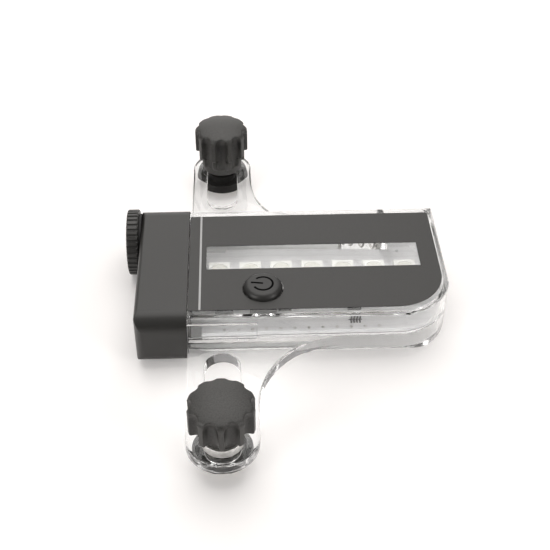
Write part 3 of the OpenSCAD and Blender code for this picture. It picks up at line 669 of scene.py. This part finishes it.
def flute_tree():
    """Geometry nodes that carve flutes round a blank turned about Z, from foot depth to rim depth."""
    made = bpy.data.node_groups.new("fluted_turning", "GeometryNodeTree")
    face = made.interface
    face.new_socket("Blank", in_out="INPUT", socket_type="NodeSocketGeometry")
    for label in ("Flutes", "Radius", "Cutter Radius", "Foot Depth", "Rim Depth", "Fade Low", "Fade High",
                  "Turn"):
        face.new_socket(label, in_out="INPUT", socket_type="NodeSocketFloat")
    face.new_socket("Finish", in_out="INPUT", socket_type="NodeSocketMaterial")
    face.new_socket("Fluted", in_out="OUTPUT", socket_type="NodeSocketGeometry")
    given = add_node(made, "NodeGroupInput").outputs

    def maths(operation, *values):
        return add_node(made, "ShaderNodeMath", operation=operation,
                        inputs=dict(enumerate(values))).outputs[0]

    spot = add_node(made, "ShaderNodeSeparateXYZ",
                    inputs={0: add_node(made, "GeometryNodeInputPosition").outputs[0]}).outputs
    turn = maths("ARCTAN2", spot["Y"], spot["X"])
    radius = maths("SQRT", maths("ADD", maths("MULTIPLY", spot["X"], spot["X"]),
                                 maths("MULTIPLY", spot["Y"], spot["Y"])))
    half = maths("DIVIDE", math.pi, given["Flutes"])
    off = maths("WRAP", maths("SUBTRACT", turn, given["Turn"]), half, maths("MULTIPLY", half, -1.0))
    depth = add_node(made, "ShaderNodeMapRange", interpolation_type="SMOOTHSTEP", inputs={
        "Value": spot["Z"], "From Min": given["Fade Low"], "From Max": given["Fade High"],
        "To Min": given["Foot Depth"], "To Max": given["Rim Depth"]}).outputs["Result"]
    centre = maths("SUBTRACT", maths("ADD", given["Radius"], given["Cutter Radius"]), depth)
    side = maths("MULTIPLY", centre, maths("SINE", off))
    inside = maths("SUBTRACT", maths("MULTIPLY", given["Cutter Radius"], given["Cutter Radius"]),
                   maths("MULTIPLY", side, side))
    reach = maths("SQRT", maths("MAXIMUM", inside, 0.0))
    cut = maths("SUBTRACT", maths("MULTIPLY", centre, maths("COSINE", off)), reach)
    clear = maths("ADD", cut, maths("MULTIPLY", maths("LESS_THAN", inside, 0.0), 0.01))
    carved = maths("SMOOTH_MIN", radius, clear, 0.35 * MM)
    kept = maths("MINIMUM", carved, radius)
    place = add_node(made, "ShaderNodeCombineXYZ", inputs={
        "X": maths("MULTIPLY", kept, maths("COSINE", turn)),
        "Y": maths("MULTIPLY", kept, maths("SINE", turn)), "Z": spot["Z"]}).outputs[0]
    shaped = add_node(made, "GeometryNodeSetPosition", inputs={"Geometry": given["Blank"], "Position": place})
    solid = add_node(made, "GeometryNodeRealizeInstances", inputs={0: shaped.outputs[0]})
    painted = add_node(made, "GeometryNodeSetMaterial", inputs={
        "Geometry": solid.outputs[0], "Material": given["Finish"]})
    add_node(made, "NodeGroupOutput", inputs={0: painted.outputs[0]})
    return made


flutes = flute_tree()


def fluted(name, profile, steps, finish, values):
    """A fluted mesh, turned from a profile and then carved."""
    blank = turned(name + "_blank", profile, steps)
    mesh = run_tree(flutes, name, blank, {**values, "Finish": finish})
    mesh.polygons.foreach_set("use_smooth", [True] * len(mesh.polygons))
    mesh.set_sharp_from_angle(angle=math.radians(60))
    return mesh


cap_low, cap_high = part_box("tail_cap")
cap_r = (cap_high.z - cap_low.z) / 2
cap_axis = Vector((cap_low.x, (cap_low.y + cap_high.y) / 2, (cap_low.z + cap_high.z) / 2))
cap_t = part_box("tail_seal")[0].x - cap_low.x
plug_r = 5.4 * MM
plug_l = cap_high.x - cap_low.x
rim = 0.35 * MM
dish = 0.25 * MM
back_edge = 0.2 * MM
seal_air = 0.02 * MM
plug_edge = 0.4 * MM
cap_profile = (
    [(0.0, dish), (0.55 * cap_r, dish), (0.6 * cap_r, 0.0), (cap_r - rim, 0.0)]
    + arc(cap_r - rim, rim, rim, -90, 0)
    + [(cap_r, rim + (cap_t - back_edge - rim) * i / 6) for i in range(1, 7)]
    + [(cap_r - back_edge, cap_t - seal_air), (plug_r, cap_t - seal_air)]
    + [(plug_r, plug_l - plug_edge), (plug_r - plug_edge, plug_l), (0.0, plug_l)]
)
cap_ridges = 36
ridge_cutter_r = 0.34 * MM
ridge_depth = 0.38 * MM
cap_finish = moulded("spark_black_cap", (0.027, 0.0262, 0.0248), (0.040, 0.039, 0.037),
                     0.38, 5200.0, 0.015 * MM)
cap_mesh = fluted("knurled_cap", cap_profile, cap_ridges * 12, cap_finish, {
    "Flutes": float(cap_ridges), "Radius": cap_r, "Cutter Radius": ridge_cutter_r,
    "Foot Depth": ridge_depth, "Rim Depth": ridge_depth, "Fade Low": 0.0, "Fade High": 0.1, "Turn": 0.0})
cap_mesh.transform(Matrix.Translation(cap_axis) @ Matrix.Rotation(math.pi / 2, 4, "Y"))
as_piece("knurled_cap", cap_mesh, cap_finish, "tail_screw", ["tail_cap"])

# Label film
# A matt black printed film stuck on the upper shell, with a window over the lamps and a hole
# for the key. One thin pale line is printed across it near the battery end.


def printed_film(name):
    """Matt black print on the film's upper face; its underside is the pale carrier."""
    material, tree = new_material(name)
    place = add_node(tree, "ShaderNodeTexCoord")
    facing = add_node(tree, "ShaderNodeSeparateXYZ", inputs={0: place.outputs["Normal"]})
    upper = spread(tree, facing.outputs["Z"], 0.0, 1.0, -0.6, -0.5)
    grain = noise(tree, 3000.0, 3.0)
    colour = tones(tree, upper, (0.85, 0.85, 0.83), (0.022, 0.0212, 0.0198))
    bsdf(tree, {"Base Color": colour, "Roughness": spread(tree, grain, 0.4, 0.5),
                "Normal": bump(tree, grain, 0.006 * MM, 0.6)})
    return material


film_finish = printed_film("matt_black_film")
line_finish = moulded("pale_print", (0.36, 0.36, 0.36), (0.42, 0.42, 0.42), 0.5, 3000.0, 0.003 * MM)
softened("top_label", "label_film", film_finish, 0.04 * MM,
         trim=eased(2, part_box("top_label")[0].z, seam_air))
film_low, film_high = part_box("top_label")
line_size = (0.45 * MM, film_high.y - film_low.y - 0.3 * MM, 0.02 * MM)
line_x = -19.09 * MM
line_edge = 0.005 * MM
line_sunk = 0.005 * MM
line_mesh = chip_mesh("printed_line", line_size, line_edge)
line_mesh.transform(Matrix.Translation((line_x, (film_low.y + film_high.y) / 2, film_high.z - line_sunk)))
as_piece("printed_line", line_mesh, line_finish, "case")

# Power key
# A round satin key with a domed head that stands above the film. The common power sign is a
# thin strip laid on the dome, painted near black as the shade of a pressed groove.
key_finish = moulded("satin_black_key", (0.014, 0.0137, 0.013), (0.019, 0.0185, 0.0175),
                     0.42, 3600.0, 0.008 * MM)
key_low, key_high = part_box("power_button")
key_x = (key_low.x + key_high.x) / 2
key_y = (key_low.y + key_high.y) / 2
key_r = 4.35 * MM
flange_r = (key_high.x - key_low.x) / 2
flange_t = 0.8 * MM
flange_edge = 0.1 * MM
sign_rise = 0.03 * MM
key_h = key_high.z - key_low.z - sign_rise
key_swell = 0.1 * MM
key_flat_r = 0.6 * key_r


def key_drop(radius):
    """How far the key's broad top lies below its crown at a radius."""
    return key_swell * (radius / key_flat_r) ** 2


key_shoulder = ((1.0, 1.3), (0.99, 1.1), (0.97, 0.92), (0.94, 0.71),
                (0.9, 0.51), (0.85, 0.35), (0.8, 0.25), (0.74, 0.18))
key_profile = (
    [(0.0, 0.0), (flange_r - flange_edge, 0.0), (flange_r, flange_edge), (flange_r, flange_t - flange_edge),
     (flange_r - flange_edge, flange_t), (key_r, flange_t)]
    + [(share * key_r, key_h - drop * MM) for share, drop in key_shoulder]
    + [(key_flat_r * i / 6, key_h - key_drop(key_flat_r * i / 6)) for i in range(6, -1, -1)]
)
key_mesh = turned("power_key", key_profile, 96)
key_mesh.transform(Matrix.Translation((key_x, key_y, key_low.z)))
as_piece("power_key", key_mesh, key_finish, "power_key", ["power_button"])


def crown_strip(skin, points, width, rise, depth):
    """Adds a closed strip along points to a skin, laid on the key's crown, its top raised by rise."""
    low_rise = rise - depth
    section = ((1.0, rise), (0.0, rise), (-1.0, rise), (-1.0, low_rise), (1.0, low_rise))
    rows_made = []
    for i, point in enumerate(points):
        before = points[max(i - 1, 0)]
        after = points[min(i + 1, len(points) - 1)]
        across = Vector((before[1] - after[1], after[0] - before[0])).normalized() * width / 2
        row = []
        for shift, level in section:
            spot = Vector((point[0] + shift * across.x, point[1] + shift * across.y))
            row.append(skin.verts.new((spot.x, spot.y, level - key_drop(spot.length))))
        rows_made.append(row)
    for a, b in zip(rows_made, rows_made[1:]):
        for k in range(5):
            skin.faces.new((a[k], a[(k + 1) % 5], b[(k + 1) % 5], b[k]))
    skin.faces.new(rows_made[0])
    skin.faces.new(rows_made[-1])


sign_r = 2.15 * MM
sign_w = 0.46 * MM
sign_depth = 0.1 * MM
sign_lean = 170
sign_gap = 38
sign = bmesh.new()
ring = [(sign_r * math.cos(math.radians(a)), sign_r * math.sin(math.radians(a)))
        for a in range(sign_lean + sign_gap, sign_lean + 361 - sign_gap, 4)]
bar = [(-r * MM * math.cos(math.radians(180 - sign_lean)), r * MM * math.sin(math.radians(180 - sign_lean)))
       for r in (2.7, 2.0, 1.3, 0.6, 0.0)]
crown_strip(sign, ring, sign_w, sign_rise, sign_depth)
crown_strip(sign, bar, sign_w, sign_rise, sign_depth)
bmesh.ops.recalc_face_normals(sign, faces=sign.faces)
bmesh.ops.translate(sign, verts=sign.verts, vec=(key_x, key_y, key_low.z + key_h))
sign_mesh = bpy.data.meshes.new("power_sign")
sign.to_mesh(sign_mesh)
sign.free()


def painted_groove_shade(name):
    """Painted shade: a near-black finish that hardly sends any light back, standing for the bottom of a
    narrow groove.
    """
    material, tree = new_material(name)
    colour = tones(tree, noise(tree, 3000.0), (0.002, 0.002, 0.002), (0.005, 0.005, 0.005))
    bsdf(tree, {"Base Color": colour, "Roughness": 0.9, "Specular IOR Level": 0.03})
    return material


# The sign's strip carries painted shade in place of a groove's dark depth.
sign_painted_shade = painted_groove_shade("painted_shade_of_sign")
as_piece("power_sign", sign_mesh, sign_painted_shade, "power_key")

# Spoke clamps
# On each arm a fluted thumb knob with a moulded-in stud draws a black disc with a brass insert
# up against the arm's underside. A washer lies between knob and arm, plated in front, black behind.
knob_finish = moulded("spark_black_knob", (0.018, 0.0174, 0.0162), (0.050, 0.0483, 0.045),
                      0.44, 3600.0, 0.025 * MM)
brass_finish = tin_plate("turned_brass", (0.80, 0.62, 0.32), 0.26)
washer_finish = tin_plate("bright_nickel_washer", (0.94, 0.93, 0.91), 0.46)
disc_finish = moulded("spark_black_disc", (0.008, 0.0077, 0.0072), (0.018, 0.0174, 0.0165),
                      0.6, 3600.0, 0.02 * MM, gloss=0.15)
knob_flutes = 10
knob_r = 6.75 * MM
foot_h = 2.9 * MM
foot_corner = 0.2 * MM
neck_h = 0.55 * MM
neck_edge = 0.15 * MM
skirt_edge = 0.3 * MM
dome_r = 17.0 * MM
rim_r = 1.3 * MM
flute_cutter_r = 1.4 * MM
flute_foot_depth = 1.8 * MM
flute_rim_depth = 0.95 * MM
stud_air = 0.03 * MM
washer_seen_r = 4.3 * MM
disc_r = 6.05 * MM
disc_taper = 1.05


def drawn_in(axis, radius, level, taper):
    """A trim that draws points in to a radius about an upright axis, less by taper below a level."""
    def trim(skin):
        for vertex in skin.verts:
            reach = radius + taper * min(vertex.co.z - level, 0.0)
            arm = (vertex.co - axis).to_2d()
            if arm.length > reach:
                arm = arm.normalized() * reach
                vertex.co.x = axis.x + arm.x
                vertex.co.y = axis.y + arm.y
    return trim


def both_trims(first, second):
    """Two trims in turn."""
    def trim(skin):
        first(skin)
        second(skin)
    return trim


clamp_sides = (("front", 0.0, 3.9 * MM, 3.7 * MM), ("back", 0.5, 5.9 * MM, 5.3 * MM))
for side, first_flute, foot_r, neck_r in clamp_sides:
    low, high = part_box(side + "_knob")
    stud_low, stud_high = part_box(side + "_stud")
    axis = Vector(((stud_low.x + stud_high.x) / 2, (stud_low.y + stud_high.y) / 2, low.z))
    knob_h = high.z - low.z
    top_r = knob_r - rim_r
    rim_reach = dome_r - rim_r
    rim_z = knob_h - dome_r + math.sqrt(rim_reach ** 2 - top_r ** 2)
    rim_end = math.degrees(math.acos(top_r / rim_reach))
    bore_r = (stud_high.x - stud_low.x) / 2 + stud_air
    bore_h = stud_high.z - low.z
    side_low = foot_h + skirt_edge
    neck_low = foot_h - neck_h
    profile = (
        [(0.0, bore_h), (bore_r, bore_h), (bore_r, 0.0), (foot_r - foot_corner, 0.0), (foot_r, foot_corner)]
        + [(foot_r, neck_low - neck_edge), (foot_r - neck_edge, neck_low)]
        + [(neck_r, neck_low), (neck_r, foot_h), (knob_r - skirt_edge, foot_h)]
        + [(knob_r, side_low + (rim_z - side_low) * i / 20) for i in range(21)]
        + arc(top_r, rim_z, rim_r, 0, rim_end, 9)[1:]
        + arc(0.0, knob_h - dome_r, dome_r, rim_end, 90, 14)[1:]
    )
    mesh = fluted(side + "_thumb_knob", profile, knob_flutes * 24, knob_finish, {
        "Flutes": float(knob_flutes), "Radius": knob_r, "Cutter Radius": flute_cutter_r,
        "Foot Depth": flute_foot_depth, "Rim Depth": flute_rim_depth,
        "Fade Low": knob_h - 3.6 * MM, "Fade High": knob_h - 1.0 * MM,
        "Turn": first_flute * 2 * math.pi / knob_flutes})
    mesh.transform(Matrix.Translation(axis))
    as_piece(side + "_thumb_knob", mesh, knob_finish, side + "_screw", [side + "_knob"])
    softened(side + "_stud", side + "_screw_stud", plate_finish, 0.2 * MM)
    washer_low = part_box(side + "_washer")[0]
    washer_trim = eased(2, washer_low.z, seam_air)
    disc_trim = eased(2, washer_low.z - arm_t, -seam_air)
    if side == "front":
        washer_trim = both_trims(washer_trim, drawn_in(axis, washer_seen_r, washer_low.z, 0.0))
        disc_trim = both_trims(disc_trim, drawn_in(axis, disc_r, washer_low.z - arm_t, disc_taper))
    softened(side + "_washer", side + "_plain_washer", washer_finish if side == "front" else knob_finish,
             0.12 * MM, trim=washer_trim)
    softened(side + "_disc", side + "_clamp_disc", disc_finish, 0.25 * MM, 3, trim=disc_trim)
    softened(side + "_insert", side + "_brass_insert", brass_finish, 0.1 * MM)

low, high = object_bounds()
